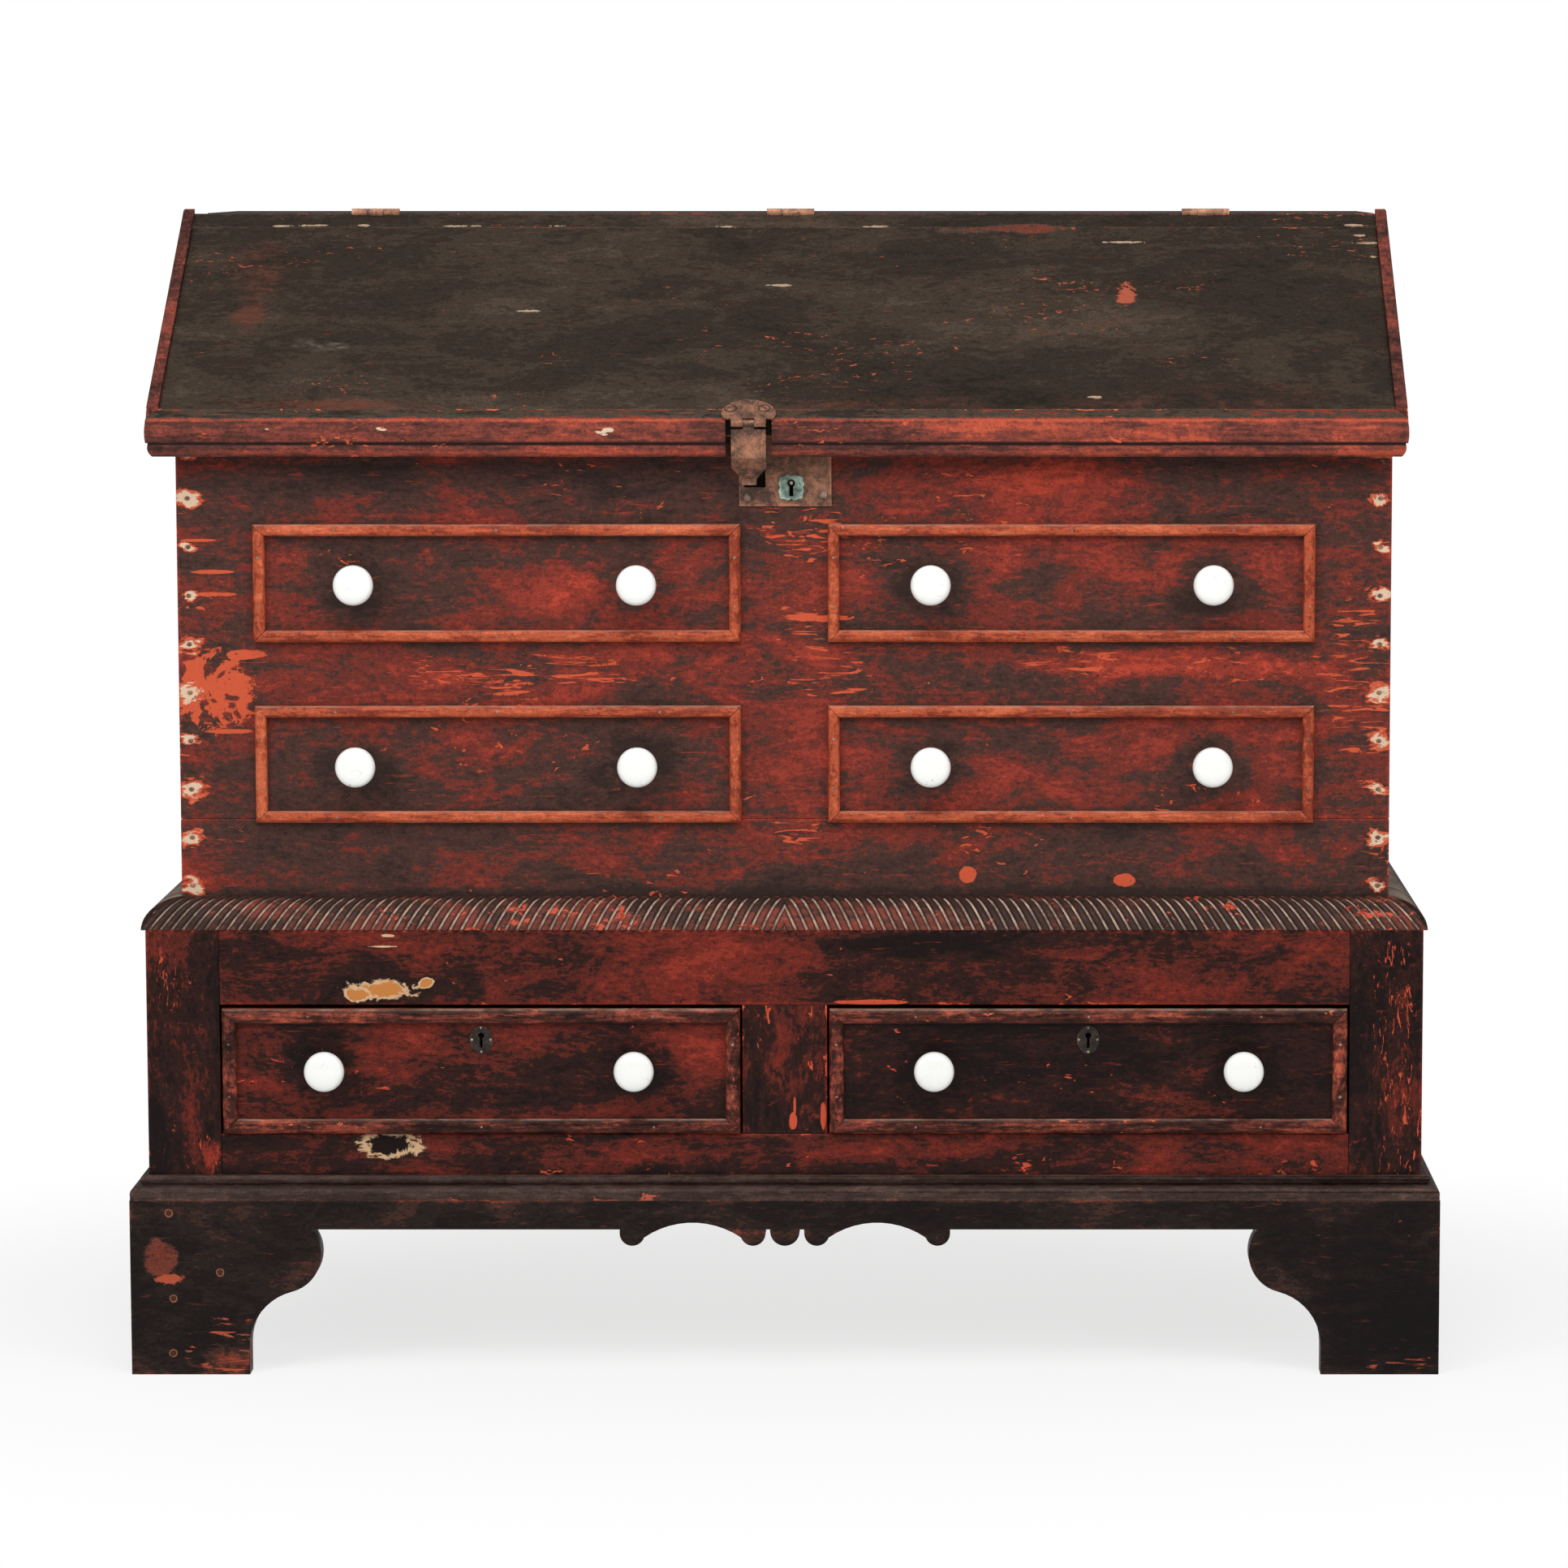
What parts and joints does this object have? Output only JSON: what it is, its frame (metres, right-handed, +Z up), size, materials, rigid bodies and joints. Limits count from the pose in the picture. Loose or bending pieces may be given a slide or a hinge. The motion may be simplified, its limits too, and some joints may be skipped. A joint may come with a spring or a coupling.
{
  "type": "slant-lid chest over drawers",
  "caption": "Slant-lid chest over a low drawer case on a lobed bracket base, with rope-carved moulding, sham drawer frames, porcelain knobs, hinged lid, hasp and sliding drawers.",
  "frame": {"origin": "on the floor, at the middle of the overall box", "axes": "+X to the right seen from the front, +Y to the back, +Z up; the drawers face -Y"},
  "size_m": [1.145, 0.516, 1.014],
  "materials": {
    "red_painted_wood": "worn oxide-red paint with dark grime in the grain",
    "dark_painted_wood": "dark brown-black old paint with red showing through",
    "bare_wood": "unfinished softwood, aged",
    "iron": "rusted wrought iron",
    "brass": "tarnished brass",
    "porcelain": "glossy white glaze"
  },
  "bodies": {
    "case": {"base_moulding": "dark_painted_wood", "bottom_rail": "red_painted_wood", "bracket_base_front": "dark_painted_wood", "bracket_base_left": "dark_painted_wood", "bracket_base_right": "dark_painted_wood", "centre_muntin": "red_painted_wood", "drawer_guides": "bare_wood", "drawer_runners": "bare_wood", "foot_glue_blocks": "bare_wood", "front_board_lower": "red_painted_wood", "front_board_upper": "red_painted_wood", "front_stiles": "red_painted_wood", "lock_case": "iron", "lock_keyhole_plate": "brass", "lock_plate": "iron", "lower_back": "bare_wood", "lower_side_left": "red_painted_wood", "lower_side_right": "red_painted_wood", "lower_top": "bare_wood", "rear_foot_brackets": "bare_wood", "rope_moulding": "dark_painted_wood", "rope_moulding_returns": "dark_painted_wood", "sham_frames_lower": "red_painted_wood", "sham_frames_upper": "red_painted_wood", "sham_knob_spindles": "iron", "sham_knobs": "porcelain", "top_board": "dark_painted_wood", "top_hinge_leaves": "iron", "top_rail": "red_painted_wood", "upper_back": "bare_wood", "upper_side_left": "red_painted_wood", "upper_side_right": "red_painted_wood", "well_floor": "bare_wood"},
    "lid": {"lid_board": "dark_painted_wood", "lid_hinge_strip": "dark_painted_wood", "lid_lip": "red_painted_wood", "lid_side_mouldings": "red_painted_wood", "lid_hinge_leaves": "iron", "hasp_leaf": "iron"},
    "hasp": {"hasp_strap": "iron"},
    "drawer_left": {"drawer_left_back": "bare_wood", "drawer_left_bottom": "bare_wood", "drawer_left_frame": "red_painted_wood", "drawer_left_front": "red_painted_wood", "drawer_left_keyhole_plate": "brass", "drawer_left_knob_spindles": "iron", "drawer_left_knobs": "porcelain", "drawer_left_lock": "iron", "drawer_left_sides": "bare_wood"},
    "drawer_right": {"drawer_right_back": "bare_wood", "drawer_right_bottom": "bare_wood", "drawer_right_frame": "red_painted_wood", "drawer_right_front": "red_painted_wood", "drawer_right_keyhole_plate": "brass", "drawer_right_knob_spindles": "iron", "drawer_right_knobs": "porcelain", "drawer_right_lock": "iron", "drawer_right_sides": "bare_wood"}
  },
  "joints": [
    {"name": "lid_hinge", "type": "hinge", "parent": "case", "child": "lid", "pos_m": [0, 0.043, 1.0105], "axis": [-1, 0, 0], "range_deg": [0, 205]},
    {"name": "hasp_hinge", "type": "hinge", "parent": "lid", "child": "hasp", "pos_m": [-0.0295, -0.225, 0.8321], "axis": [-1, 0, 0], "range_deg": [0, 175]},
    {"name": "drawer_left_slide", "type": "slide", "parent": "case", "child": "drawer_left", "axis": [0, -1, 0], "range_m": [0, 0.3]},
    {"name": "drawer_right_slide", "type": "slide", "parent": "case", "child": "drawer_right", "axis": [0, -1, 0], "range_m": [0, 0.3]}
  ]
}
